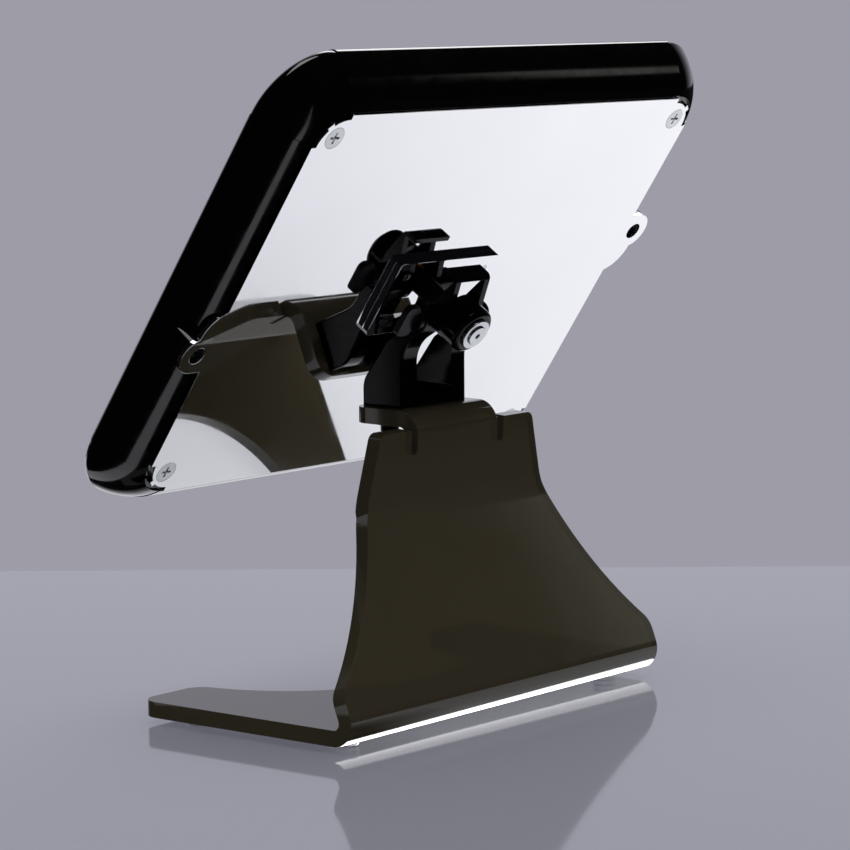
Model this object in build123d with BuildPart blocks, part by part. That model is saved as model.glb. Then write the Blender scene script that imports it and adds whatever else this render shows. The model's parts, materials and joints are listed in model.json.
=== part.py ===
from build123d import *
import os
from math import cos, radians, sin, sqrt, tan

os.makedirs("parts", exist_ok=True)

# Clearances, and the share of a full round that a fillet takes at the end of a slot
running = 0.05
seat_gap = 0.1
full_round = 0.98

# Tablet that the stand is made for
tablet_half_width = 120.6
tablet_half_height = 92.9
tablet_gap = 0.3

# Bent sheet: the foot, the upright and the shelf
sheet = 6.9
bumper_height = 3.0
bumper_radius = 4.8
bumper_edge_radius = 0.9
bumper_front_inset_x = 14.0
bumper_front_inset_y = 22.5
bumper_rear_inset_x = 17.0
bumper_rear_y = 22.0
heel_half_width = 105.0
heel_radius = 10.0
toe_half_width = 111.0
toe_length = 120.5
toe_radius = 9.0
arch_radius = 75.0
arch_depth = 54.5
lower_length = 95.7
lower_lean = 21.95
kink_radius = 30.0
upper_rise = 39.6
upper_lean = -2.7
neck_radius = 10.5
shelf_rear_margin = 14.0
shelf_side_margin = 5.5
shelf_corner_radius = 8.8
hip_height = 24.5
hip_radius = 10.0
waist_half_width = 59.0
waist_sag = 5.2
shoulder_half_width = 50.8
shoulder_height = 32.5
shoulder_radius = 4.0
slot_width = 4.0
slot_floor_height = 21.5
slot_lip_radius = 1.3

# Yoke on the shelf
yoke_half_width = 21.5
cheek_thickness = 10.0
yoke_depth = 22.5
yoke_front_gap = 2.0
yoke_floor = 4.8
yoke_slot_radius = 3.5
yoke_front_rise = 11.0
yoke_rear_rise = 27.0
yoke_foot_radius = 10.0
yoke_back_radius = 14.0
yoke_step_front = 6.6
yoke_step_low = 21.5
yoke_step_high = 14.0
yoke_step_inset = 0.4
yoke_step_radius = 2.5
yoke_step_bend = 4.0
yoke_head_radius = 5.2
yoke_neck_drop = 3.5
yoke_neck_radius = 6.0
yoke_edge_radius = 1.2
yoke_bolt_inset = 5.0
yoke_bolt_radius = 2.0
yoke_bolt_depth = 13.0
yoke_bolt_head_radius = 4.0
yoke_bolt_head_height = 2.8
yoke_bolt_socket_radius = 1.6
yoke_bolt_socket_depth = 1.4
yoke_washer_radius = 5.5
yoke_washer_thickness = 1.0

# Tilt pivot
pivot_height = 39.2
pivot_setback = 31.3
pivot_gap = 15.5
pivot_drop = 2.0
pivot_radius = 3.0
pivot_head_radius = 4.0
pivot_head_height = 2.2
pivot_bush_wall = 1.4
pivot_washer_thickness = 0.3
pivot_washer_radius = 5.0
spade_hub_radius = 4.6
spade_hub_height = 2.2
spade_length = 8.5
spade_width = 15.0
spade_thickness = 3.0
spade_radius = 3.0

# Tilt bracket
bracket_plate = 3.2
bracket_web_front = 17.5
bracket_web = 3.6
bracket_web_low = 3.5
bracket_web_high = 5.7
bracket_flange_front = 10.0
bracket_flange_back = 17.5
bracket_flange_top = 20.4
bracket_flange_thickness = 2.2
bracket_corner_radius = 3.0
bracket_ear_radius = 6.2
bracket_ear_front = 4.3
bracket_ear_rise = 1.0
bracket_notch = 1.5
boss_radius = 10.8
boss_length = 13.3
boss_edge_radius = 2.5

# Axle of the landscape and portrait turn
axle_radius = 5.0
axle_bush_wall = 1.4
spring_washer_thickness = 0.5
retaining_washer_radius = 7.3
retaining_washer_thickness = 0.8
retaining_washer_edge_radius = 0.3
end_screw_head_radius = 4.7
end_screw_head_height = 0.9
end_screw_edge_radius = 0.4
end_screw_radius = 2.0
end_screw_length = 10.0
end_screw_socket_radius = 1.45
end_screw_socket_depth = 0.7

# Mount plate
mount_half_width = 33.0
mount_half_height = 19.0
mount_thickness = 3.6
mount_corner_radius = 2.0
mount_screw_inset_x = 7.4
mount_screw_inset_y = 7.1
mount_screw_radius = 2.0
mount_screw_head_radius = 3.8
mount_screw_head_height = 2.0

# Back plate
tilt = 55.85
plate_margin_x = 4.4
plate_margin_y = 3.55
plate_thickness = 2.0
plate_corner_radius = 13.0
plate_corner_inset_x = 15.5
plate_corner_inset_y = 15.15
plate_tab_width = 3.4
plate_tab_reach = 1.5
plate_screw_inset_x = 11.0
plate_screw_inset_y = 10.95
plate_screw_head_radius = 5.0
plate_screw_radius = 1.9
plate_screw_length = 8.0
cross_recess_width = 1.1
cross_recess_length = 5.4
cross_recess_depth = 0.9
cross_recess_taper = 20

# Locks, point-symmetric about the middle of the back plate
lock_overhang = 6.3
lock_y = 22.0
lobe_radius = 9.0
lobe_hole_radius = 4.0
lobe_fillet_radius = 14.0
lock_boss_radius = 8.8
lock_boss_end = 19.5
lock_barrel_radius = 5.2
lock_shoulder_depth = 14.0
lock_pocket_radius = 7.3
lock_barrel_wall = 1.6
lock_cam_gap = 0.6
lock_face_gap = 0.2
lock_nut_radius = 6.6
lock_nut_thickness = 2.4
lock_cam_thickness = 1.4
lock_cam_length = 7.0
lock_cam_width = 6.5
key_slot_length = 4.6
key_slot_width = 1.1
key_slot_depth = 5.0

# Section of the frame, outward from the back plate's edge and forward from its rear face
frame_wall = 2.5
frame_depth = 24.5
rim_gap = 0.4
rim_drop = 1.0
nose_reach = 16.2
nose_radius = 4.5
side_bulge = 2.2
ledge_width = 9.0
bezel_overlap = 4.7
bezel_reach = 9.2
bezel_thickness = 2.5
rail_proud = 0.5
corner_radius = 14.2

# Front bezel and what lies behind it
window_margin_x = 20.6
window_margin_y = 17.4
window_radius = 4.0
bezel_screw_radius = 1.2
bezel_screw_head_radius = 2.1
bezel_screw_head_height = 1.6
bezel_screw_bite = 1.5
bezel_screw_spread = 60.0
tray_wall = 1.0
tray_floor = 2.0
tray_height = 13.5
tray_corner_radius = 9.0
screw_boss_radius = 3.1
screw_boss_height = 4.0
foam_thickness = 2.8
foam_width = 10.0
foam_length = 150.0
foam_height = 80.0
foam_inset_x = 5.0
foam_inset_y = 15.5

# Sizes that follow from those above
shelf_depth = yoke_front_gap + yoke_depth + shelf_rear_margin
shelf_half_width = yoke_half_width + shelf_side_margin
yoke_bolt_x = yoke_half_width - yoke_bolt_inset
plate_half_width = tablet_half_width + plate_margin_x
plate_half_height = tablet_half_height + plate_margin_y
plate_screw_x = plate_half_width - plate_screw_inset_x
plate_screw_y = plate_half_height - plate_screw_inset_y
lock_x = plate_half_width + lock_overhang
mount_screw_x = mount_half_width - mount_screw_inset_x
mount_screw_y = mount_half_height - mount_screw_inset_y
window_half_width = tablet_half_width - window_margin_x
window_half_height = tablet_half_height - window_margin_y
foam_spread_x = window_half_width - foam_inset_x
foam_spread_y = window_half_height - foam_inset_y

# Places worked out from the sizes, first from the heel and then from the middle of the stand
kink_y = -lower_length * sin(radians(lower_lean))
kink_z = bumper_height + lower_length * cos(radians(lower_lean))
shelf_top = kink_z + upper_rise
neck_y = kink_y - upper_rise * tan(radians(upper_lean))
shelf_end_y = neck_y - shelf_depth
yoke_front_y = shelf_end_y + yoke_front_gap
yoke_rear_y = yoke_front_y + yoke_depth
pivot_y = yoke_front_y + pivot_setback
pivot_z = shelf_top + pivot_height
tilt_sin = sin(radians(tilt))
tilt_cos = cos(radians(tilt))
plate_y = pivot_y - pivot_gap * tilt_sin + pivot_drop * tilt_cos
plate_z = pivot_z + pivot_gap * tilt_cos + pivot_drop * tilt_sin
nose_centre = nose_reach + rail_proud - nose_radius
nose_depth = frame_depth - nose_radius
rear_reach = plate_y + plate_half_height * tilt_cos
front_reach = plate_y - (plate_half_height + nose_centre) * tilt_cos - nose_depth * tilt_sin - nose_radius
heel_y = -(rear_reach + front_reach) / 2

right = Vector(1, 0, 0)
up = Vector(0, tilt_cos, tilt_sin)
rearward = Vector(0, tilt_sin, -tilt_cos)
forward = -rearward
plate_centre = Vector(0, heel_y + plate_y, plate_z)

# Side view from the heel, in Y and Z
side_view = Plane(origin=(0, heel_y, 0), x_dir=(0, 1, 0), z_dir=right)
# Face of the back plate, in X and up the plate, with depth counted forward
face = Plane(origin=plate_centre, x_dir=right, z_dir=forward)
# The same seen from behind, with depth counted rearward
rear = Plane(origin=plate_centre, x_dir=-right, z_dir=rearward)
# Side view of the head, in rearward distance and up the plate
head_side = Plane(origin=plate_centre, x_dir=rearward, z_dir=right)

head_axis = Axis(plate_centre, rearward)
shelf_under = shelf_top - sheet
cheek_inner = yoke_half_width - cheek_thickness
bracket_half_width = cheek_inner - running - pivot_washer_thickness
bush_radius = pivot_radius + pivot_bush_wall
boss_end = bracket_web_front + boss_length
axle_bush_radius = axle_radius + axle_bush_wall
axle_end = boss_end + running + spring_washer_thickness
ledge_depth = plate_thickness + frame_wall
bezel_back = frame_depth - bezel_thickness
flange_back = bezel_back - frame_wall
bezel_inner = bezel_reach - bezel_overlap
lock_face = plate_thickness + lock_face_gap


def head_point(rearward_distance, height):
    return side_view.to_local_coords(plate_centre + rearward * rearward_distance + up * height)


def finish(piece, name):
    piece.part.label = name
    export_step(piece.part, f"parts/{name}.step")


def ring(plane, outer_radius, inner_radius, thickness):
    with BuildSketch(plane) as profile:
        Circle(outer_radius)
        Circle(inner_radius, mode=Mode.SUBTRACT)
    extrude(profile.sketch, amount=thickness)


def inner_side(points, thickness):
    """Move each corner of an open outline to its left by the thickness."""
    directions = [(end - start).normalized() for start, end in zip(points, points[1:])]
    normals = [Vector(-direction.Y, direction.X) for direction in directions]
    pairs = zip(points, [normals[0]] + normals, normals + [normals[-1]])
    return [point + (before + after) * (thickness / (1 + before.dot(after))) for point, before, after in pairs]


def sheet_plane(origin_y, origin_z, lean):
    normal = (0, -cos(radians(lean)), -sin(radians(lean)))
    return Plane(origin=(0, heel_y + origin_y, origin_z), x_dir=right, z_dir=normal)


# Base sheet: a flat foot, the wide upright and the narrow tongue that ends in the shelf
lower_face = sheet_plane(0, bumper_height, lower_lean)
upper_face = sheet_plane(kink_y, kink_z, upper_lean)
heel_start = -heel_radius * tan(radians(90 + lower_lean) / 2)
tongue_points = [
    Vector(heel_start - sheet, bumper_height),
    Vector(0, bumper_height),
    Vector(kink_y, kink_z),
    Vector(neck_y, shelf_top),
    Vector(shelf_end_y, shelf_top),
]
shoulder_point = Vector(kink_y - shoulder_height * tan(radians(upper_lean)), kink_z + shoulder_height)
upright_points = tongue_points[:3] + [shoulder_point]
trim_reach = toe_half_width + 2 * toe_radius


def bent_sheet(points, half_width):
    """Extrude the sheet along an outline of its outer face, with a bend at each inner point."""
    bends = len(points) - 2
    with BuildSketch(side_view) as section:
        with BuildLine() as outline:
            outer_line = FilletPolyline(*points, radius=[heel_radius, kink_radius, neck_radius][:bends])
            inner_line = FilletPolyline(
                *inner_side(points, sheet),
                radius=[heel_radius - sheet, kink_radius + sheet, neck_radius - sheet][:bends],
            )
            Line(outer_line @ 0, inner_line @ 0)
            Line(outer_line @ 1, inner_line @ 1)
        make_face(outline.edges())
    extrude(section.sketch, amount=half_width, both=True)


def yoke_bolt_circles(height, radius):
    with BuildSketch(Plane.XY.offset(height)) as circles:
        with Locations(*[(side * yoke_bolt_x, yoke_middle_y) for side in (-1, 1)]):
            Circle(radius)
    return circles.sketch


yoke_middle_y = heel_y + (yoke_front_y + yoke_rear_y) / 2
bumper_places = [
    (side * x, heel_y - y)
    for side in (-1, 1)
    for x, y in (
        (toe_half_width - bumper_front_inset_x, toe_length - bumper_front_inset_y),
        (heel_half_width - bumper_rear_inset_x, bumper_rear_y),
    )
]

with BuildPart() as base_sheet:
    with BuildSketch(Plane.XY.offset(bumper_height)) as foot_outline:
        with BuildLine():
            Polyline(
                (-heel_half_width, heel_y + heel_start),
                (heel_half_width, heel_y + heel_start),
                (toe_half_width, heel_y - toe_length),
                (-toe_half_width, heel_y - toe_length),
                close=True,
            )
        make_face()
        with Locations((0, heel_y - arch_depth - arch_radius)):
            Circle(arch_radius, mode=Mode.SUBTRACT)
        fillet(foot_outline.vertices().group_by(Axis.Y)[0], toe_radius)
    extrude(amount=sheet)
    bent_sheet(upright_points, heel_half_width)
    bent_sheet(tongue_points, shelf_half_width)
    with BuildSketch(lower_face.offset(-sheet)) as hip_trim:
        waist = (waist_half_width, lower_length)
        hip = (heel_half_width, hip_height)
        with BuildLine():
            SagittaArc(hip, waist, waist_sag)
            Polyline(
                waist,
                (waist_half_width, lower_length + sheet),
                (trim_reach, lower_length + sheet),
                (trim_reach, hip_height / 2),
                (heel_half_width, hip_height / 2),
                hip,
            )
        make_face()
        fillet(hip_trim.vertices().sort_by_distance(hip)[0], hip_radius)
        mirror(about=Plane.YZ)
    extrude(amount=2.5 * sheet, mode=Mode.SUBTRACT)
    with BuildSketch(upper_face.offset(-sheet)) as shoulder_trim:
        slot_outer = shelf_half_width + slot_width
        shoulder = (shoulder_half_width, shoulder_height)
        slot_lip = (slot_outer, shoulder_height)
        slot_floor = [(slot_outer, slot_floor_height), (shelf_half_width, slot_floor_height)]
        with BuildLine():
            Polyline(
                (waist_half_width, 0),
                shoulder,
                slot_lip,
                *slot_floor,
                (shelf_half_width, trim_reach),
                (trim_reach, trim_reach),
                (trim_reach, 0),
                close=True,
            )
        make_face()
        fillet(shoulder_trim.vertices().sort_by_distance(shoulder)[0], shoulder_radius)
        fillet(shoulder_trim.vertices().sort_by_distance(slot_lip)[0], slot_lip_radius)
        for slot_corner in slot_floor:
            fillet(shoulder_trim.vertices().sort_by_distance(slot_corner)[0], full_round * slot_width / 2)
        mirror(about=Plane.YZ)
    extrude(amount=2.5 * sheet, mode=Mode.SUBTRACT)
    shelf_front = base_sheet.edges().filter_by(Axis.Z).filter_by(lambda edge: edge.center().Z > shelf_under)
    fillet(shelf_front.sort_by(Axis.Y)[:2], shelf_corner_radius)
    extrude(yoke_bolt_circles(shelf_top, yoke_bolt_radius + seat_gap), amount=-sheet, mode=Mode.SUBTRACT)
finish(base_sheet, "base_sheet")

with BuildPart() as bumpers:
    with BuildSketch() as bumper_circles:
        with Locations(*bumper_places):
            Circle(bumper_radius)
    extrude(amount=bumper_height)
    fillet(bumpers.edges().group_by(Axis.Z)[0], bumper_edge_radius)
finish(bumpers, "bumpers")

# Yoke: one profile for its foot and cheeks, with a slot cut through from front to back
pivot_place = Vector(0, heel_y + pivot_y, pivot_z)
pivot_axis = Plane(origin=pivot_place, x_dir=rearward, z_dir=right)
yoke_points = [
    Vector(yoke_front_y, shelf_top),
    Vector(yoke_front_y, shelf_top + yoke_front_rise),
    head_point(yoke_step_front, -yoke_step_low),
    head_point(pivot_gap - yoke_head_radius - yoke_step_inset, -yoke_step_high),
    head_point(pivot_gap - yoke_head_radius, yoke_head_radius - pivot_drop),
    head_point(pivot_gap + yoke_head_radius, yoke_head_radius - pivot_drop),
    head_point(pivot_gap + yoke_head_radius, -pivot_drop - yoke_neck_drop),
    Vector(yoke_rear_y, shelf_top + yoke_rear_rise),
    Vector(yoke_rear_y, shelf_top),
]
head_round = full_round * yoke_head_radius
yoke_radii = [yoke_foot_radius, yoke_step_radius, yoke_step_bend, head_round, head_round]
yoke_radii += [yoke_neck_radius, yoke_back_radius]

with BuildPart() as yoke:
    with BuildSketch(side_view):
        with BuildLine():
            FilletPolyline(*[(point.X, point.Y) for point in yoke_points], radius=yoke_radii)
            Line((yoke_rear_y, shelf_top), (yoke_front_y, shelf_top))
        make_face()
    extrude(amount=yoke_half_width, both=True)
    with BuildSketch(Plane.XZ) as yoke_slot:
        with Locations((0, shelf_top + yoke_floor)):
            Rectangle(2 * cheek_inner, trim_reach, align=(Align.CENTER, Align.MIN))
        fillet(yoke_slot.vertices().group_by(Axis.Z)[0], yoke_slot_radius)
    extrude(amount=trim_reach, both=True, mode=Mode.SUBTRACT)
    for side in (0, -1):
        fillet(yoke.faces().sort_by(Axis.X)[side].edges(), yoke_edge_radius)
    with BuildSketch(pivot_axis):
        Circle(pivot_radius + seat_gap)
    extrude(amount=trim_reach, both=True, mode=Mode.SUBTRACT)
    with BuildSketch(pivot_axis.offset(-yoke_half_width)):
        Circle(pivot_head_radius + seat_gap)
    extrude(amount=pivot_head_height, mode=Mode.SUBTRACT)
    extrude(yoke_bolt_circles(shelf_top, yoke_bolt_radius), amount=yoke_bolt_depth, mode=Mode.SUBTRACT)
finish(yoke, "yoke")

bolt_head_z = shelf_under - yoke_washer_thickness
with BuildPart() as yoke_washers:
    extrude(yoke_bolt_circles(bolt_head_z, yoke_washer_radius), amount=yoke_washer_thickness)
    extrude(
        yoke_bolt_circles(bolt_head_z, yoke_bolt_radius + seat_gap),
        amount=yoke_washer_thickness,
        mode=Mode.SUBTRACT,
    )
finish(yoke_washers, "yoke_washers")

with BuildPart() as yoke_bolts:
    extrude(yoke_bolt_circles(bolt_head_z, yoke_bolt_head_radius), amount=-yoke_bolt_head_height)
    extrude(
        yoke_bolt_circles(bolt_head_z - yoke_bolt_head_height, yoke_bolt_socket_radius),
        amount=yoke_bolt_socket_depth,
        mode=Mode.SUBTRACT,
    )
    extrude(
        yoke_bolt_circles(bolt_head_z, yoke_bolt_radius),
        amount=yoke_washer_thickness + sheet + yoke_bolt_depth - seat_gap,
    )
finish(yoke_bolts, "yoke_bolts")

# Tilt bracket: side plates with ears, joined by a flange and, below a window, a web that carries the boss
ear_inner = bracket_half_width - bracket_plate
web_back = bracket_web_front + bracket_web
flange_low = bracket_flange_top - bracket_flange_thickness

with BuildPart() as tilt_bracket:
    with BuildSketch(head_side) as bracket_side:
        with BuildLine():
            Polyline(
                (bracket_flange_front, bracket_flange_top),
                (bracket_flange_back, bracket_flange_top),
                (web_back, bracket_web_high),
                (web_back, -bracket_web_low),
                (bracket_web_front, -bracket_web_low),
                (pivot_gap - bracket_ear_front, bracket_ear_rise),
                (bracket_flange_back - bracket_notch, flange_low - bracket_notch),
                (bracket_flange_back - bracket_notch, flange_low),
                (bracket_flange_front, flange_low),
                close=True,
            )
        make_face()
        outer_corner = (bracket_flange_back, bracket_flange_top)
        fillet(bracket_side.vertices().sort_by_distance(outer_corner)[0], bracket_corner_radius)
        with Locations((pivot_gap, -pivot_drop)):
            Circle(bracket_ear_radius)
    extrude(amount=bracket_half_width, both=True)
    with BuildSketch(head_side):
        with BuildLine():
            Polyline(
                (0, flange_low),
                (trim_reach, flange_low),
                (trim_reach, bracket_web_high),
                (bracket_web_front, bracket_web_high),
                (bracket_web_front, -trim_reach),
                (0, -trim_reach),
                close=True,
            )
        make_face()
    extrude(amount=ear_inner, both=True, mode=Mode.SUBTRACT)
    with BuildSketch(rear.offset(bracket_web_front)):
        Circle(boss_radius)
    extrude(amount=boss_length)
    fillet(tilt_bracket.edges().filter_by(GeomType.CIRCLE).sort_by(head_axis)[-1], boss_edge_radius)
    with BuildSketch(rear.offset(bracket_web_front)):
        Circle(axle_bush_radius)
    extrude(amount=boss_length, mode=Mode.SUBTRACT)
    with BuildSketch(pivot_axis):
        Circle(bush_radius)
    extrude(amount=trim_reach, both=True, mode=Mode.SUBTRACT)
finish(tilt_bracket, "tilt_bracket")

with BuildPart() as pivot_bushes:
    ring(pivot_axis.offset(ear_inner), bush_radius, pivot_radius + running, bracket_plate)
    ring(pivot_axis.offset(-bracket_half_width), bush_radius, pivot_radius + running, bracket_plate)
finish(pivot_bushes, "pivot_bushes")

with BuildPart() as pivot_washers:
    for start in (bracket_half_width, -bracket_half_width - pivot_washer_thickness):
        ring(pivot_axis.offset(start), pivot_washer_radius, pivot_radius + running, pivot_washer_thickness)
finish(pivot_washers, "pivot_washers")

# Pivot bolt in the far cheek and tension screw in the near one
pivot_reach = yoke_half_width - ear_inner
with BuildPart() as pivot_bolt:
    with BuildSketch(pivot_axis.offset(-yoke_half_width + pivot_head_height)):
        Circle(pivot_head_radius)
    extrude(amount=-pivot_head_height + seat_gap)
    with BuildSketch(pivot_axis.offset(-yoke_half_width + pivot_head_height)):
        Circle(pivot_radius)
    extrude(amount=pivot_reach - pivot_head_height)
finish(pivot_bolt, "pivot_bolt")

with BuildPart() as tension_screw:
    with BuildSketch(pivot_axis.offset(ear_inner)):
        Circle(pivot_radius)
    extrude(amount=pivot_reach + seat_gap)
    with BuildSketch(pivot_axis.offset(yoke_half_width + seat_gap)):
        Circle(spade_hub_radius)
    extrude(amount=spade_hub_height)
    with BuildSketch(Plane(origin=pivot_place, x_dir=right, z_dir=rearward).offset(-spade_thickness / 2)):
        with Locations((yoke_half_width + spade_hub_height + spade_length / 2, 0)):
            RectangleRounded(spade_length, spade_width, spade_radius)
    extrude(amount=spade_thickness)
finish(tension_screw, "tension_screw")

# Axle, its bush and what closes its end
with BuildPart() as axle_bush:
    ring(rear.offset(bracket_web_front), axle_bush_radius, axle_radius + running, boss_length)
finish(axle_bush, "axle_bush")

with BuildPart() as axle:
    with BuildSketch(rear):
        Circle(axle_radius)
    extrude(amount=axle_end)
    with BuildSketch(rear.offset(axle_end)):
        Circle(end_screw_radius)
    extrude(amount=-end_screw_length, mode=Mode.SUBTRACT)
finish(axle, "axle")

with BuildPart() as spring_washer:
    ring(rear.offset(boss_end + running), retaining_washer_radius, axle_radius + seat_gap, spring_washer_thickness)
finish(spring_washer, "spring_washer")

with BuildPart() as retaining_washer:
    ring(rear.offset(axle_end), retaining_washer_radius, end_screw_radius + seat_gap, retaining_washer_thickness)
    washer_edges = retaining_washer.edges().filter_by(GeomType.CIRCLE).sort_by(SortBy.LENGTH)
    fillet(washer_edges[-2:].sort_by(head_axis)[-1], retaining_washer_edge_radius)
finish(retaining_washer, "retaining_washer")

washer_back = axle_end + retaining_washer_thickness
with BuildPart() as axle_end_screw:
    with BuildSketch(rear.offset(washer_back)):
        Circle(end_screw_head_radius)
    extrude(amount=end_screw_head_height)
    fillet(axle_end_screw.edges().filter_by(GeomType.CIRCLE).sort_by(head_axis)[-1], end_screw_edge_radius)
    with BuildSketch(rear.offset(washer_back)):
        Circle(end_screw_radius)
    extrude(amount=-end_screw_length)
    with BuildSketch(rear.offset(washer_back + end_screw_head_height)):
        RegularPolygon(end_screw_socket_radius, 6)
    extrude(amount=-end_screw_socket_depth, mode=Mode.SUBTRACT)
finish(axle_end_screw, "axle_end_screw")

mount_screw_places = [(x, y) for x in (-mount_screw_x, mount_screw_x) for y in (-mount_screw_y, mount_screw_y)]
with BuildPart() as mount_plate:
    with BuildSketch(rear):
        RectangleRounded(2 * mount_half_width, 2 * mount_half_height, mount_corner_radius)
        Circle(axle_radius, mode=Mode.SUBTRACT)
        with Locations(*mount_screw_places):
            Circle(mount_screw_radius, mode=Mode.SUBTRACT)
    extrude(amount=mount_thickness)
finish(mount_plate, "mount_plate")

with BuildPart() as mount_screws:
    with BuildSketch(face.offset(plate_thickness)):
        with Locations(*mount_screw_places):
            Circle(mount_screw_head_radius)
    extrude(amount=mount_screw_head_height)
    with BuildSketch(face.offset(plate_thickness)):
        with Locations(*mount_screw_places):
            Circle(mount_screw_radius)
    extrude(amount=-plate_thickness - mount_thickness + seat_gap)
finish(mount_screws, "mount_screws")

# Back plate: straight edges, corners drawn in to an arc with a small tab, and two lobes
corner_signs = [(x, y) for x in (-1, 1) for y in (-1, 1)]
arc_x = plate_half_width - plate_corner_inset_x
arc_y = plate_half_height - plate_corner_inset_y
plate_screw_places = [(x * plate_screw_x, y * plate_screw_y) for x, y in corner_signs]
lock_places = {"left": (-lock_x, lock_y), "right": (lock_x, -lock_y)}
lobe_offset = lobe_fillet_radius + plate_half_width - lock_x
lobe_rise = sqrt((lobe_fillet_radius + lobe_radius) ** 2 - lobe_offset**2)

with BuildPart() as back_plate:
    with BuildSketch(face) as plate_outline:
        Rectangle(2 * arc_x, 2 * plate_half_height)
        Rectangle(2 * plate_half_width, 2 * arc_y)
        with Locations(*[(x * arc_x, y * arc_y) for x, y in corner_signs]):
            Circle(plate_corner_radius)
        for x, y in corner_signs:
            with Locations(Location((x * arc_x, y * arc_y), 45 * x * y)):
                Rectangle(2 * (plate_corner_radius + plate_tab_reach), plate_tab_width)
        for x, y in lock_places.values():
            side = 1 if x > 0 else -1
            root = side * (plate_half_width - lobe_radius)
            swell = Vector(side * (plate_half_width + lobe_fillet_radius), y + side * lobe_rise)
            meeting = Vector(x, y) + (swell - Vector(x, y)).normalized() * lobe_radius
            with BuildLine():
                RadiusArc((side * plate_half_width, swell.Y), (meeting.X, meeting.Y), lobe_fillet_radius)
                Polyline(
                    (meeting.X, meeting.Y),
                    (x, y),
                    (x, y - side * lobe_radius),
                    (root, y - side * lobe_radius),
                    (root, swell.Y),
                    (side * plate_half_width, swell.Y),
                )
            make_face()
            with Locations((x, y)):
                Circle(lobe_radius)
                Circle(lobe_hole_radius, mode=Mode.SUBTRACT)
        with Locations(*mount_screw_places):
            Circle(mount_screw_radius + seat_gap, mode=Mode.SUBTRACT)
        Circle(axle_radius, mode=Mode.SUBTRACT)
    extrude(amount=plate_thickness)
    with Locations(rear):
        with GridLocations(2 * plate_screw_x, 2 * plate_screw_y, 2, 2):
            CounterSinkHole(
                plate_screw_radius + seat_gap,
                plate_screw_head_radius + seat_gap,
                depth=plate_thickness,
                counter_sink_angle=90,
            )
finish(back_plate, "back_plate")

head_cone = plate_screw_head_radius - plate_screw_radius
with BuildPart() as plate_screws:
    with BuildSketch(rear):
        with GridLocations(2 * plate_screw_x, 2 * plate_screw_y, 2, 2):
            Circle(plate_screw_head_radius)
    extrude(amount=-head_cone, taper=45)
    with BuildSketch(rear.offset(-head_cone / 2)):
        with GridLocations(2 * plate_screw_x, 2 * plate_screw_y, 2, 2):
            Circle(plate_screw_radius)
    extrude(amount=-plate_screw_length + head_cone / 2)
    with BuildSketch(rear):
        with GridLocations(2 * plate_screw_x, 2 * plate_screw_y, 2, 2):
            Rectangle(cross_recess_length, cross_recess_width)
            Rectangle(cross_recess_width, cross_recess_length)
    extrude(amount=-cross_recess_depth, taper=cross_recess_taper, mode=Mode.SUBTRACT)
finish(plate_screws, "plate_screws")


# Frame: one section, extruded for the straight sides and revolved for the corners
def frame_section(start, proud):
    """Draw the section with its local X outward from the plate's edge at start."""
    rim = (start + proud + rim_gap, rim_drop)
    nose = (start + proud + nose_reach, nose_depth)
    front = (start + proud + nose_reach - nose_radius, frame_depth)
    with BuildLine() as outline:
        SagittaArc(nose, rim, side_bulge)
        RadiusArc(nose, front, -nose_radius)
        Polyline(
            front,
            (start + bezel_reach, frame_depth),
            (start + bezel_reach, bezel_back),
            (start + bezel_inner, bezel_back),
            (start + bezel_inner, flange_back),
            (start + proud + nose_reach - 2 * frame_wall, flange_back),
        )
        SagittaArc(
            (start + proud + nose_reach - 2 * frame_wall, flange_back),
            (start + proud - rim_gap, ledge_depth),
            side_bulge,
        )
        Polyline(
            (start + proud - rim_gap, ledge_depth),
            (start - ledge_width, ledge_depth),
            (start - ledge_width, plate_thickness),
            (start + proud + rim_gap, plate_thickness),
            rim,
        )
    make_face(outline.edges())


def face_plane(x, y, outward):
    """A plane square to the face, with local X outward and local Y forward."""
    origin = face.from_local_coords(Vector(x, y, 0))
    outward_direction = face.from_local_coords(Vector(*outward, 0)) - plate_centre
    return Plane(origin=origin, x_dir=outward_direction, z_dir=outward_direction.cross(forward))


corner_x = plate_half_width - corner_radius
corner_y = plate_half_height - corner_radius


def lock_seat(x, y):
    """Boss for a lock, with a stepped bore that opens into the frame and room for the lobe above it."""
    side = 1 if x > 0 else -1
    with BuildSketch(face) as lobe_room:
        with Locations((x, y + side * (lobe_rise - lobe_radius) / 2)):
            Rectangle(2 * (lock_x - plate_half_width + lobe_radius), lobe_rise + lobe_radius + 2 * seat_gap)
    extrude(lobe_room.sketch, amount=plate_thickness, mode=Mode.SUBTRACT)
    steps = (
        (plate_thickness, lock_boss_radius, lock_boss_end, Mode.ADD),
        (plate_thickness, lock_barrel_radius, lock_boss_end, Mode.SUBTRACT),
        (lock_shoulder_depth, lock_pocket_radius, flange_back, Mode.SUBTRACT),
    )
    for start, radius, end, mode in steps:
        with BuildSketch(face.offset(start)) as step:
            with Locations((x, y)):
                Circle(radius)
        extrude(step.sketch, amount=end - start, mode=mode)


def bezel_screw_holes():
    with BuildSketch(face.offset(flange_back)) as holes:
        with Locations(*bezel_screw_places):
            Circle(bezel_screw_radius)
    extrude(holes.sketch, amount=frame_wall + bezel_screw_bite, mode=Mode.SUBTRACT)


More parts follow.
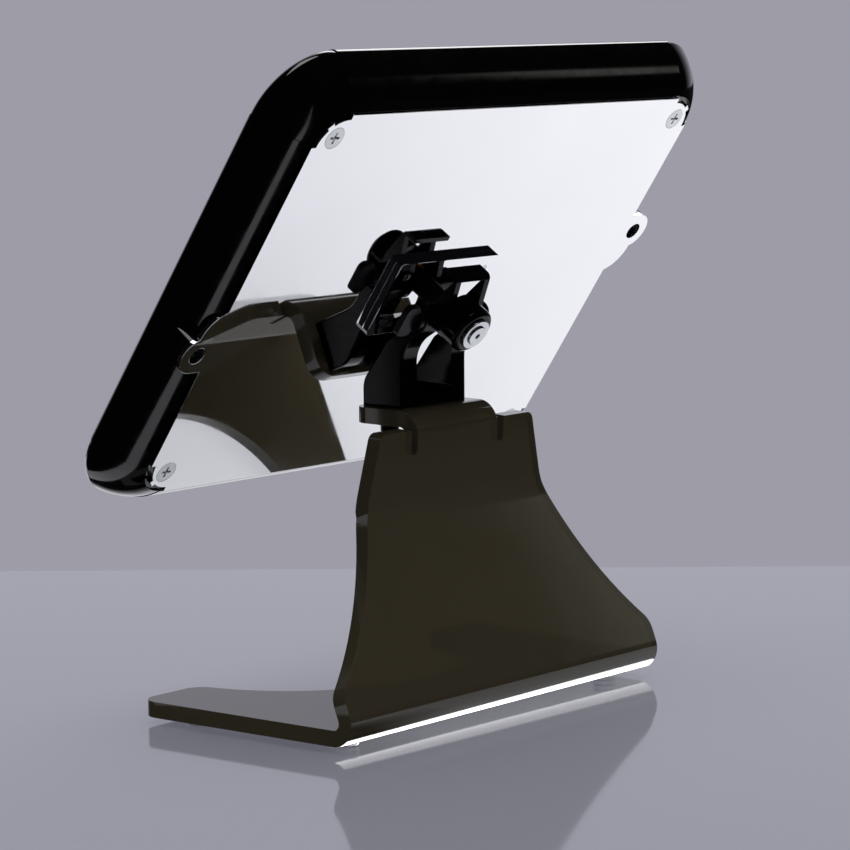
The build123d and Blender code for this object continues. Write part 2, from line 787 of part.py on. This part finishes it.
screw_line = (bezel_inner + bezel_reach) / 2
screw_line_x = plate_half_width + screw_line
screw_line_y = plate_half_height + screw_line
bezel_screw_places = [(x * bezel_screw_spread, y * screw_line_y) for x, y in corner_signs]
bezel_screw_places += [(x * screw_line_x, y * bezel_screw_spread) for x, y in corner_signs]
rail_places = {
    "right": ((plate_half_width, 0), (1, 0), corner_y),
    "left": ((-plate_half_width, 0), (-1, 0), corner_y),
    "top": ((0, plate_half_height), (0, 1), corner_x),
    "bottom": ((0, -plate_half_height), (0, -1), corner_x),
}

for rail_name, (place, outward, half_length) in rail_places.items():
    with BuildPart() as rail:
        with BuildSketch(face_plane(*place, outward)):
            frame_section(0, rail_proud)
        extrude(amount=half_length, both=True)
        if rail_name in lock_places:
            lock_seat(*lock_places[rail_name])
        bezel_screw_holes()
    finish(rail, f"rail_{rail_name}")

corner_places = {
    "top_right": ((1, 1), (1, 0)),
    "top_left": ((-1, 1), (0, 1)),
    "bottom_left": ((-1, -1), (-1, 0)),
    "bottom_right": ((1, -1), (0, -1)),
}

for corner_name, ((side_x, side_y), outward) in corner_places.items():
    section_plane = face_plane(side_x * corner_x, side_y * corner_y, outward)
    with BuildPart() as corner_piece:
        with BuildSketch(section_plane):
            frame_section(corner_radius, 0)
        revolve(axis=Axis(section_plane.origin, forward), revolution_arc=90)
        with BuildSketch(face.offset(plate_thickness)):
            with Locations((side_x * plate_screw_x, side_y * plate_screw_y)):
                Circle(screw_boss_radius)
        extrude(amount=frame_wall + screw_boss_height)
        with Locations(rear):
            with Locations((-side_x * plate_screw_x, side_y * plate_screw_y)):
                CounterSinkHole(
                    plate_screw_radius,
                    plate_screw_head_radius + seat_gap,
                    depth=plate_screw_length + seat_gap,
                    counter_sink_angle=90,
                )
    finish(corner_piece, f"corner_{corner_name}")

bezel_half_width = plate_half_width + bezel_reach - seat_gap
bezel_half_height = plate_half_height + bezel_reach - seat_gap
with BuildPart() as front_bezel:
    with BuildSketch(face.offset(bezel_back)):
        RectangleRounded(2 * bezel_half_width, 2 * bezel_half_height, corner_radius + bezel_reach - seat_gap)
        RectangleRounded(2 * window_half_width, 2 * window_half_height, window_radius, mode=Mode.SUBTRACT)
    extrude(amount=bezel_thickness)
    bezel_screw_holes()
finish(front_bezel, "front_bezel")

with BuildPart() as bezel_screws:
    with BuildSketch(face.offset(flange_back)):
        with Locations(*bezel_screw_places):
            Circle(bezel_screw_head_radius)
    extrude(amount=-bezel_screw_head_height)
    with BuildSketch(face.offset(flange_back)):
        with Locations(*bezel_screw_places):
            Circle(bezel_screw_radius)
    extrude(amount=frame_wall + bezel_screw_bite)
finish(bezel_screws, "bezel_screws")

# Tray that the tablet lies in, with its pads
bay_half_width = tablet_half_width + tablet_gap
bay_half_height = tablet_half_height + tablet_gap
tray_floor_top = ledge_depth + tray_floor
with BuildPart() as tray:
    with BuildSketch(face.offset(ledge_depth)):
        RectangleRounded(2 * (bay_half_width + tray_wall), 2 * (bay_half_height + tray_wall), tray_corner_radius)
    extrude(amount=tray_height)
    with BuildSketch(face.offset(tray_floor_top)):
        RectangleRounded(2 * bay_half_width, 2 * bay_half_height, tray_corner_radius - tray_wall)
    extrude(amount=tray_height, mode=Mode.SUBTRACT)
    with BuildSketch(face.offset(ledge_depth)):
        with Locations(*plate_screw_places):
            Circle(screw_boss_radius + tablet_gap)
    extrude(amount=tray_floor, mode=Mode.SUBTRACT)
finish(tray, "tray")

with BuildPart() as foam_pads:
    with BuildSketch(face.offset(tray_floor_top)):
        with GridLocations(0, 2 * foam_spread_y, 1, 2):
            Rectangle(foam_length, foam_width)
        with GridLocations(2 * foam_spread_x, 0, 2, 1):
            Rectangle(foam_width, foam_height)
    extrude(amount=foam_thickness)
finish(foam_pads, "foam_pads")

# Locks: a fixed barrel and nut, and a plug that turns with its cam
barrel_end = lock_shoulder_depth + lock_nut_thickness + lock_cam_gap
plug_radius = lock_barrel_radius - lock_barrel_wall
for lock_name, (x, y) in lock_places.items():
    lock_origin = face.from_local_coords(Vector(x, y, 0))
    lock_plane = Plane(origin=lock_origin, x_dir=right, z_dir=forward)

    with BuildPart() as barrel:
        ring(lock_plane.offset(lock_face), lock_barrel_radius, plug_radius + running, barrel_end - lock_face)
    finish(barrel, f"lock_barrel_{lock_name}")

    with BuildPart() as nut:
        with BuildSketch(lock_plane.offset(lock_shoulder_depth)):
            RegularPolygon(lock_nut_radius, 6)
            Circle(lock_barrel_radius, mode=Mode.SUBTRACT)
        extrude(amount=lock_nut_thickness)
    finish(nut, f"lock_nut_{lock_name}")

    with BuildPart() as plug:
        with BuildSketch(lock_plane.offset(lock_face)):
            Circle(plug_radius)
        extrude(amount=barrel_end + running - lock_face)
        with BuildSketch(lock_plane.offset(lock_face)):
            SlotOverall(key_slot_length, key_slot_width)
        extrude(amount=key_slot_depth, mode=Mode.SUBTRACT)
        with BuildSketch(lock_plane.offset(barrel_end)):
            Circle(plug_radius / 2)
        extrude(amount=running + lock_cam_thickness)
    finish(plug, f"lock_plug_{lock_name}")

    with BuildPart() as cam:
        with BuildSketch(lock_plane.offset(barrel_end + running)):
            SlotCenterPoint((lock_cam_length / 4, 0), (lock_cam_length - lock_cam_width / 2, 0), lock_cam_width)
            Circle(plug_radius / 2, mode=Mode.SUBTRACT)
        extrude(amount=lock_cam_thickness)
    finish(cam, f"lock_cam_{lock_name}")
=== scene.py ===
import json
from math import cos, pi, radians, sin

import bpy
from mathutils import Matrix, Vector


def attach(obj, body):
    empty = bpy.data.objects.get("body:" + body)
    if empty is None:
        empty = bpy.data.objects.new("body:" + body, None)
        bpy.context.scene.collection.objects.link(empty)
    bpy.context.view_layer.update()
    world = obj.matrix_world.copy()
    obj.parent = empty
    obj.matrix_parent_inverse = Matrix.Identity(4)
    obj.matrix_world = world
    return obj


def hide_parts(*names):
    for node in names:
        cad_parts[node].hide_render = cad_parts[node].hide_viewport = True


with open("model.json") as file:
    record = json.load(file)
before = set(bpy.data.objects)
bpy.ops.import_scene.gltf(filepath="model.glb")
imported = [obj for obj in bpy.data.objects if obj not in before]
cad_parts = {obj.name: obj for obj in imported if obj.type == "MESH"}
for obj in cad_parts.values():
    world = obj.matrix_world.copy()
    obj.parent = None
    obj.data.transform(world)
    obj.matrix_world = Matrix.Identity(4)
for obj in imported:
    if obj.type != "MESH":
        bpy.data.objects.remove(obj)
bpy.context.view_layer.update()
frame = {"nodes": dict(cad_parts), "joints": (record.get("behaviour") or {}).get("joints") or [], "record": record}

nodes = frame["nodes"]
joints = {joint["name"]: joint for joint in frame["joints"]}
plateMiddle = tuple(joints["frame_turn"]["pos_m"])
outOfPlate = Vector(joints["frame_turn"]["axis"])  # out of the mirror plate, towards the back

# The photo's view from behind the stand: angles in degrees, places in metres, lens and sensor in mm
cameraView = {
    "azimuth": 130.108,
    "elevation": 7.403,
    "roll": -0.345,
    "target": (0, 0.01157, 0.121865),
    "distance": 1.470294,
    "nearest": 0.01,
    "lens": 143.27,
    "sensor": 36,
}


def placeCamera(view):
    azimuth, elevation, roll = (radians(view[key]) for key in ("azimuth", "elevation", "roll"))
    backwards = Vector((sin(azimuth) * cos(elevation), -cos(azimuth) * cos(elevation), sin(elevation)))
    level = Vector((0, 0, 1)).cross(backwards).normalized()
    upright = backwards.cross(level)
    right = cos(roll) * level + sin(roll) * upright
    up = cos(roll) * upright - sin(roll) * level
    bpy.ops.object.camera_add(location=Vector(view["target"]) + backwards * view["distance"])
    camera = bpy.context.object
    camera.name = "photoCamera"
    camera.rotation_euler = Matrix((right, up, backwards)).transposed().to_euler()
    camera.data.lens = view["lens"]
    camera.data.sensor_width = view["sensor"]
    camera.data.clip_start = view["nearest"]
    bpy.context.scene.camera = camera


placeCamera(cameraView)
bpy.context.scene.view_settings.view_transform = "Standard"
print("camera placed")


# sRGB hex text as a linear colour
def linear(hexText):
    channels = [int(hexText[place:place + 2], 16) / 255 for place in (1, 3, 5)]
    curved = [value / 12.92 if value <= 0.04045 else ((value + 0.055) / 1.055) ** 2.4 for value in channels]
    return (*curved, 1)


# Adds a node: values go into its sockets, links join them to other nodes' outputs, settings are its own
def addNode(tree, kind, values=None, links=None, **settings):
    node = tree.nodes.new("ShaderNode" + kind)
    for name, setting in settings.items():
        setattr(node, name, setting)
    for socket, value in (values or {}).items():
        node.inputs[socket].default_value = value
    for socket, source in (links or {}).items():
        tree.links.new(source, node.inputs[socket])
    return node


# How far a place or a direction reaches along an axis: 0 at the first value of span, 1 at the second
def rampAlong(tree, vector, axis, span):
    along = addNode(tree, "VectorMath", {1: axis}, {0: vector}, operation="DOT_PRODUCT")
    ramp = addNode(
        tree, "MapRange", {"From Min": span[0], "From Max": span[1]}, {"Value": along.outputs["Value"]},
    )
    return ramp.outputs["Result"]


# Each finish: two colours that drift into each other over patchMm, a roughness range that changes over
# grainMm, and a relief of reliefMm height over reliefGrainMm. The rings of turned parts lie ringsMm apart,
# wider than a lathe leaves them, so that they show
finishes = {
    # Cast PMMA sheet, smoked brown, edges flame-polished: a dim see-through olive under a hard wet gloss
    "smokedAcrylic": {
        "colours": ("#494333", "#524b3a"), "patchMm": 90, "roughness": (0.04, 0.09), "grainMm": 14,
        "reliefMm": 0.03, "reliefGrainMm": 45, "ior": 1.49, "transmission": 0.3,
    },
    # Injection-moulded ABS, polished tool, black: piano gloss with a faint haze of handling
    "glossAbs": {
        "colours": ("#020203", "#050506"), "patchMm": 40, "roughness": (0.07, 0.14), "grainMm": 6,
        "reliefMm": 0.004, "reliefGrainMm": 3, "ior": 1.54, "coat": 0.25,
    },
    # Stainless steel sheet, mirror-polished: clean reflections, softened a little by wipe marks
    "mirrorSteel": {
        "colours": ("#f0f1f3", "#f8f8fa"), "patchMm": 60, "roughness": (0.015, 0.05), "grainMm": 18,
        "reliefMm": 0.003, "reliefGrainMm": 60, "metallic": 1,
    },
    # Zinc die casting under black powder coat: deep black with a fine orange peel and weak highlights
    "blackCasting": {
        "colours": ("#020203", "#040405"), "patchMm": 12, "roughness": (0.1, 0.18), "grainMm": 1.5,
        "reliefMm": 0.004, "reliefGrainMm": 0.9, "ior": 1.5, "specular": 0.15,
    },
    # Stainless steel turned on a lathe: bright, with rings about its axis
    "turnedSteel": {
        "colours": ("#bfc1c5", "#dcdee1"), "patchMm": 6, "roughness": (0.16, 0.3), "grainMm": 0.5,
        "reliefMm": 0.01, "reliefGrainMm": 0.4, "metallic": 1, "ringsMm": 3.14,
    },
    # Alloy steel with a black oxide skin: dull metal, nearly black
    "blackOxide": {
        "colours": ("#17171a", "#242326"), "patchMm": 4, "roughness": (0.3, 0.45), "grainMm": 0.7,
        "reliefMm": 0.01, "reliefGrainMm": 0.5, "metallic": 0.8,
    },
    # Sintered bronze: dull brown-yellow, open-grained
    "sinteredBronze": {
        "colours": ("#8a6a3b", "#a88450"), "patchMm": 2, "roughness": (0.4, 0.6), "grainMm": 0.4,
        "reliefMm": 0.02, "reliefGrainMm": 0.3, "metallic": 1,
    },
    # Polyurethane bumper, clear: soft, slightly hazy, lit from inside
    "clearRubber": {
        "colours": ("#dfe5e8", "#edf1f2"), "patchMm": 5, "roughness": (0.18, 0.3), "grainMm": 1,
        "reliefMm": 0.01, "reliefGrainMm": 1, "ior": 1.5, "transmission": 0.8,
    },
    # ABS with a spark-eroded texture: flat charcoal with a fine sparkle
    "texturedAbs": {
        "colours": ("#1b1b1d", "#222225"), "patchMm": 20, "roughness": (0.5, 0.68), "grainMm": 1,
        "reliefMm": 0.05, "reliefGrainMm": 0.8, "ior": 1.54,
    },
    # Closed-cell EVA foam: matt dark grey, cut cells show as pores
    "evaFoam": {
        "colours": ("#26272a", "#313236"), "patchMm": 3, "roughness": (0.85, 0.98), "grainMm": 1,
        "reliefMm": 0.25, "reliefGrainMm": 1.1, "ior": 1.45,
    },
    # Zinc lock parts, plated with dark nickel and turned: smoky metal with rings about the lock's axis
    "darkNickel": {
        "colours": ("#2c2c30", "#3c3c41"), "patchMm": 3, "roughness": (0.22, 0.36), "grainMm": 0.5,
        "reliefMm": 0.008, "reliefGrainMm": 0.5, "metallic": 1, "ringsMm": 3.77,
    },
}
patternDetail = {"patchMm": 3, "grainMm": 4, "reliefGrainMm": 2}  # layers of finer noise in each pattern
noiseSpan = (0.3, 0.7)  # most of a noise pattern lies between these
ringPeriod = pi / 10  # how far apart a wave texture's rings are at scale 1
ringWobble = 0.4  # how far the rings stray from true circles


def makeFinish(name, look, ringCentre=None):
    material = bpy.data.materials.new(name)
    material.use_nodes = True
    tree = material.node_tree
    shader = tree.nodes["Principled BSDF"]
    place = addNode(tree, "TexCoord").outputs["Object"]
    patches, grain, relief = (
        addNode(
            tree, "TexNoise", {"Scale": 1000 / look[size], "Detail": detail}, {"Vector": place},
        ).outputs["Fac"]
        for size, detail in patternDetail.items()
    )
    if ringCentre:
        faceOn = outOfPlate.to_track_quat("Z", "Y").to_euler()
        turned = addNode(
            tree, "Mapping", {"Location": ringCentre, "Rotation": faceOn}, {"Vector": place},
            vector_type="TEXTURE",
        )
        rings = addNode(
            tree, "TexWave", {"Scale": 1000 * ringPeriod / look["ringsMm"], "Distortion": ringWobble},
            {"Vector": turned.outputs["Vector"]}, wave_type="RINGS", rings_direction="Z",
        )
        relief = addNode(
            tree, "Math", links={0: relief, 1: rings.outputs["Fac"]}, operation="ADD",
        ).outputs["Value"]

    firstColour, secondColour = (linear(hexText) for hexText in look["colours"])
    colour = addNode(  # sockets 6 and 7 of a Mix node take the colours
        tree, "Mix", {6: firstColour, 7: secondColour}, {0: patches}, data_type="RGBA",
    )
    haze = addNode(
        tree, "MapRange",
        {
            "From Min": noiseSpan[0], "From Max": noiseSpan[1],
            "To Min": look["roughness"][0], "To Max": look["roughness"][1],
        },
        {"Value": grain},
    )
    bump = addNode(tree, "Bump", {"Strength": 1, "Distance": look["reliefMm"] / 1000}, {"Height": relief})
    tree.links.new(colour.outputs[2], shader.inputs["Base Color"])
    tree.links.new(haze.outputs["Result"], shader.inputs["Roughness"])
    tree.links.new(bump.outputs["Normal"], shader.inputs["Normal"])

    shader.inputs["Metallic"].default_value = look.get("metallic", 0)
    shader.inputs["Transmission Weight"].default_value = look.get("transmission", 0)
    shader.inputs["Coat Weight"].default_value = look.get("coat", 0)
    if "specular" in look:
        shader.inputs["Specular IOR Level"].default_value = look["specular"]
    if "ior" in look:
        shader.inputs["IOR"].default_value = look["ior"]
    return material


materials = {name: makeFinish(name, look) for name, look in finishes.items() if "ringsMm" not in look}
materials["turnedSteel"] = makeFinish("turnedSteel", finishes["turnedSteel"], plateMiddle)
for side in ("left", "right"):
    lockFinish = "darkNickel" + side.capitalize()
    lockCentre = tuple(joints[f"lock_{side}_turn"]["pos_m"])
    materials[lockFinish] = makeFinish(lockFinish, finishes["darkNickel"], lockCentre)

finishOfSlot = {
    "smoked_acrylic": "smokedAcrylic",
    "clear_rubber": "clearRubber",
    "black_lacquer": "blackCasting",
    "black_gloss_frame": "glossAbs",
    "mirror_steel": "mirrorSteel",
    "bright_steel": "turnedSteel",
    "black_steel": "blackOxide",
    "bronze_bush": "sinteredBronze",
    "tray_abs": "texturedAbs",
    "foam": "evaFoam",
}
slotOfNode = {subpart["node"]: subpart["material_slot"] for subpart in frame["record"]["subparts"]}
bodyOfNode = {name: body for body, names in frame["record"]["behaviour"]["bodies"].items() for name in names}


def finishFor(nodeName):
    if slotOfNode[nodeName] == "lock_steel":
        return materials["darkNickelLeft" if nodeName.endswith("left") else "darkNickelRight"]
    return materials[finishOfSlot[slotOfNode[nodeName]]]


for nodeName, node in nodes.items():
    for materialSlot in node.material_slots:
        materialSlot.material = finishFor(nodeName)
print("materials on", len(nodes), "nodes")

# Pieces whose edges are broken, as polishing, casting and stamping leave them
softened = {
    "acrylicSheet": {"node": "base_sheet", "edgeMm": 0.8, "steps": 3},
    "mirrorPlate": {"node": "back_plate", "edgeMm": 0.25, "steps": 2},
    "polishedMount": {"node": "mount_plate", "edgeMm": 0.3, "steps": 2},
    "tiltCasting": {"node": "tilt_bracket", "edgeMm": 0.5, "steps": 3},
    "yokeCasting": {"node": "yoke", "edgeMm": 0.4, "steps": 2},
    "spadeScrew": {"node": "tension_screw", "edgeMm": 0.5, "steps": 3},
}
mergeDistance = 1e-6  # metres
flatAngle = radians(0.2)  # faces that meet at less than this are one flat face
edgeAngle = radians(40)  # edges that bend more than this are broken
flatFaceWeight = 100  # how strongly the large flat faces set the shading


def softenEdges(pieceName, look):
    nodeName = look["node"]
    piece = bpy.data.objects.new(pieceName, nodes[nodeName].data.copy())
    bpy.context.scene.collection.objects.link(piece)
    bpy.ops.object.select_all(action="DESELECT")
    piece.select_set(True)
    bpy.context.view_layer.objects.active = piece
    bpy.ops.mesh.customdata_custom_splitnormals_clear()
    bpy.ops.object.mode_set(mode="EDIT")
    bpy.ops.mesh.select_all(action="SELECT")
    bpy.ops.mesh.remove_doubles(threshold=mergeDistance)
    bpy.ops.mesh.dissolve_limited(angle_limit=flatAngle)
    bpy.ops.object.mode_set(mode="OBJECT")
    bevel = piece.modifiers.new("brokenEdge", "BEVEL")
    bevel.limit_method = "ANGLE"
    bevel.angle_limit = edgeAngle
    bevel.width = look["edgeMm"] / 1000
    bevel.segments = look["steps"]
    bpy.ops.object.modifier_apply(modifier=bevel.name)
    bpy.ops.object.shade_smooth_by_angle(angle=edgeAngle)
    flatFaces = piece.modifiers.new("flatFaces", "WEIGHTED_NORMAL")
    flatFaces.keep_sharp = True
    flatFaces.weight = flatFaceWeight
    bpy.ops.object.modifier_apply(modifier=flatFaces.name)
    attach(piece, bodyOfNode[nodeName])
    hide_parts(nodeName)


for pieceName, look in softened.items():
    softenEdges(pieceName, look)
print("edges broken on", len(softened), "pieces")

# The stage in metres: a pale glossy desk whose far part is a paper backdrop in one plain tone
stage = {
    "size": 60,
    "below": 0.0002,  # under the bumpers
    "desk": "#6f6f74",
    "deskShine": "#5a5b64",  # what the desk gives off by itself, which keeps its shadows soft
    "roughness": (0.05, 0.08),
    "hazeMm": 111,
    "hazeDetail": 3,
    "ior": 1.45,
    "edge": (0.33, 0.334),  # how far beyond the stand the desk turns into the backdrop
    "backdrop": "#9d9ca7",
}

# The desk as reflections see it, in metres: a painted pool of light with painted glow on the far side of the
# stand and in a strip on its near side, painted shade elsewhere
reflectedDesk = {
    "unlit": "#08080a",
    "lit": "#a4a4a8",
    "glow": ("#bcbdc1", "#d6d6d8"),  # painted glow of the lit part, near the stand and far from it
    "glowAcross": (-0.1, -0.45),  # from the near glow to the far one
    "across": (0.08, 0.02),  # from dark to lit, and so are the next two
    "back": (0.3, 0.24),
    "reach": (1, 0.9),
    "stripAcross": (1, -0.3, 0),  # square to the strip, which lies stripMiddle along this
    "stripMiddle": 0.186,
    "stripHalf": 0.021,  # half its width
}
acrossStand = (1, 0, 0)
towardsBack = (0, 1, 0)
viewAzimuth = radians(cameraView["azimuth"])
alongView = (-sin(viewAzimuth), cos(viewAzimuth), 0)  # level, away from where the photo was taken


# How much of the desk carries the painted light in reflections, from 0 to 1
def paintedDeskLight(tree, place, look):
    distance = addNode(tree, "VectorMath", links={0: place}, operation="LENGTH")
    reach = addNode(
        tree, "MapRange", {"From Min": look["reach"][0], "From Max": look["reach"][1]},
        {"Value": distance.outputs["Value"]},
    )
    back = rampAlong(tree, place, towardsBack, look["back"])
    within = addNode(tree, "Math", links={0: back, 1: reach.outputs["Result"]}, operation="MULTIPLY")
    across = rampAlong(tree, place, acrossStand, look["across"])
    farSide = addNode(tree, "Math", links={0: across, 1: within.outputs["Value"]}, operation="MULTIPLY")
    slant = addNode(tree, "VectorMath", {1: look["stripAcross"]}, {0: place}, operation="DOT_PRODUCT")
    strip = addNode(
        tree, "Math", {1: look["stripMiddle"], 2: look["stripHalf"]}, {0: slant.outputs["Value"]},
        operation="COMPARE",
    )
    lit = addNode(
        tree, "Math", links={0: farSide.outputs["Value"], 1: strip.outputs["Value"]}, operation="MAXIMUM",
    )
    return lit.outputs["Value"]


# High-gloss laminate, pale blue-grey: a soft mirror with a faint haze, whose colour and glow in reflections are
# painted light and shade. The backdrop is matt paper
def makeLaminate(look, mirrored):
    material = bpy.data.materials.new("paleLaminate")
    material.use_nodes = True
    tree = material.node_tree
    shader = tree.nodes["Principled BSDF"]
    place = addNode(tree, "TexCoord").outputs["Object"]
    lightPath = addNode(tree, "LightPath")
    beyond = rampAlong(tree, place, alongView, look["edge"])
    lit = paintedDeskLight(tree, place, mirrored)

    seen = addNode(
        tree, "Mix", {6: linear(look["desk"]), 7: linear(look["backdrop"])}, {0: beyond}, data_type="RGBA",
    )
    # painted light and painted shade in the desk's colour, for reflections
    reflected = addNode(
        tree, "Mix", {6: linear(mirrored["unlit"]), 7: linear(mirrored["lit"])}, {0: lit}, data_type="RGBA",
    )
    colour = addNode(
        tree, "Mix", data_type="RGBA",
        links={0: lightPath.outputs["Is Glossy Ray"], 6: seen.outputs[2], 7: reflected.outputs[2]},
    )
    tree.links.new(colour.outputs[2], shader.inputs["Base Color"])

    farther = rampAlong(tree, place, acrossStand, mirrored["glowAcross"])
    nearGlow, farGlow = (linear(hexText) for hexText in mirrored["glow"])
    glow = addNode(tree, "Mix", {6: nearGlow, 7: farGlow}, {0: farther}, data_type="RGBA")
    # painted glow of the lit part, for reflections
    paintedGlow = addNode(
        tree, "Mix", {6: linear(mirrored["unlit"])}, {0: lit, 7: glow.outputs[2]}, data_type="RGBA",
    )
    shine = addNode(
        tree, "Mix", {6: linear(look["deskShine"])},
        {0: lightPath.outputs["Is Glossy Ray"], 7: paintedGlow.outputs[2]}, data_type="RGBA",
    )
    tree.links.new(shine.outputs[2], shader.inputs["Emission Color"])
    shader.inputs["Emission Strength"].default_value = 1

    haze = addNode(
        tree, "TexNoise", {"Scale": 1000 / look["hazeMm"], "Detail": look["hazeDetail"]}, {"Vector": place},
    )
    polish = addNode(
        tree, "MapRange", {"To Min": look["roughness"][0], "To Max": look["roughness"][1]},
        {"Value": haze.outputs["Fac"]},
    )
    roughness = addNode(tree, "Math", links={0: beyond, 1: polish.outputs["Result"]}, operation="MAXIMUM")
    tree.links.new(roughness.outputs["Value"], shader.inputs["Roughness"])
    shader.inputs["IOR"].default_value = look["ior"]

    paper = addNode(tree, "Emission", {"Color": linear(look["backdrop"])})
    distant = addNode(
        tree, "Math", links={0: beyond, 1: lightPath.outputs["Is Camera Ray"]}, operation="MULTIPLY",
    )
    surface = addNode(
        tree, "MixShader",
        links={0: distant.outputs["Value"], 1: shader.outputs["BSDF"], 2: paper.outputs["Emission"]},
    )
    tree.links.new(surface.outputs["Shader"], tree.nodes["Material Output"].inputs["Surface"])
    return material


def makeDesk(look, mirrored):
    bpy.ops.object.select_all(action="DESELECT")
    bpy.ops.mesh.primitive_plane_add(size=look["size"], location=(0, 0, -look["below"]))
    desk = bpy.context.object
    desk.name = "desk"
    desk.data.materials.append(makeLaminate(look, mirrored))


# The studio: an even fill on the object, the backdrop's tone for the camera, and in reflections
# a dark room that is pale on the backdrop's side
studio = {
    "fill": "#eceef2",
    "fillStrength": 0.5,
    "dark": "#08080a",
    "pale": "#bab9c5",
    "paleWithin": (0.55, 0.85),  # cosine of the angle to alongView, from dark to pale
}

# A patch of light that only reflections see. It fades in along rise, towards the far edge of the upright
sideGlow = {
    "tone": "#b3b5ac",
    "aim": (-0.7862, 0.5500, 0.2819),
    "within": (0.9975, 0.9992),  # cosine of the angle to aim, from dark to lit
    "rise": (-0.5986, -0.7995, -0.0421),
    "ramp": (0.004, 0.026),  # cosine of the angle to rise, from dark to lit
}


def makeWorld(look, patch):
    world = bpy.data.worlds.new("studio")
    bpy.context.scene.world = world
    world.use_nodes = True
    tree = world.node_tree
    tree.nodes.clear()
    lightPath = addNode(tree, "LightPath")
    direction = addNode(tree, "TexCoord").outputs["Generated"]
    paleSide = rampAlong(tree, direction, alongView, look["paleWithin"])
    closeness = rampAlong(tree, direction, patch["aim"], patch["within"])
    height = rampAlong(tree, direction, patch["rise"], patch["ramp"])
    room = addNode(
        tree, "Mix", {6: linear(look["dark"]), 7: linear(look["pale"])}, {0: paleSide}, data_type="RGBA",
    )
    inPatch = addNode(tree, "Math", links={0: closeness, 1: height}, operation="MULTIPLY")
    patched = addNode(
        tree, "Mix", {7: linear(patch["tone"])}, {0: inPatch.outputs["Value"], 6: room.outputs[2]},
        data_type="RGBA",
    )
    fill = addNode(tree, "Background", {"Color": linear(look["fill"]), "Strength": look["fillStrength"]})
    mirrored = addNode(tree, "Background", {"Strength": 1}, {"Color": patched.outputs[2]})
    backdrop = addNode(tree, "Background", {"Color": linear(stage["backdrop"]), "Strength": 1})
    around = addNode(
        tree, "MixShader",
        links={0: lightPath.outputs["Is Glossy Ray"], 1: fill.outputs[0], 2: mirrored.outputs[0]},
    )
    whole = addNode(
        tree, "MixShader",
        links={0: lightPath.outputs["Is Camera Ray"], 1: around.outputs[0], 2: backdrop.outputs[0]},
    )
    addNode(tree, "OutputWorld", links={"Surface": whole.outputs[0]})


# The soft boxes in metres and watts: one overhead, and one beyond the stand for the bright rim along the
# frame's top
softBoxes = {
    "topBox": {"place": (0.1, 0.05, 1.8), "size": (1.2, 1.2), "watts": 12},
    "rimBox": {"place": (-1.14, -0.42, 1.13), "size": (1.2, 0.5), "watts": 6},
}
boxTarget = Vector((0, 0, 0.12))  # the middle of the stand


def addSoftBox(name, look):
    bpy.ops.object.light_add(type="AREA", location=look["place"])
    box = bpy.context.object
    box.name = name
    box.data.shape = "RECTANGLE"
    box.data.size, box.data.size_y = look["size"]
    box.data.energy = look["watts"]
    box.rotation_euler = (boxTarget - Vector(look["place"])).to_track_quat("-Z", "Y").to_euler()


# A narrow strip of light on the desk under the heel, which only reflections see: the glint along the bend
heelGlint = {"place": (-0.004, 0.0531, 0.0004), "turn": -1.2, "size": (0.22, 0.0105), "watts": 0.056}


def addHeelGlint(look):
    faceUp = (radians(180), 0, radians(look["turn"]))
    bpy.ops.object.light_add(type="AREA", location=look["place"], rotation=faceUp)
    strip = bpy.context.object
    strip.name = "heelGlint"
    strip.data.shape = "RECTANGLE"
    strip.data.size, strip.data.size_y = look["size"]
    strip.data.energy = look["watts"]
    strip.visible_camera = False
    strip.visible_diffuse = False
    strip.visible_transmission = False


makeDesk(stage, reflectedDesk)
makeWorld(studio, sideGlow)
for boxName, look in softBoxes.items():
    addSoftBox(boxName, look)
addHeelGlint(heelGlint)
print("stage and lights placed")
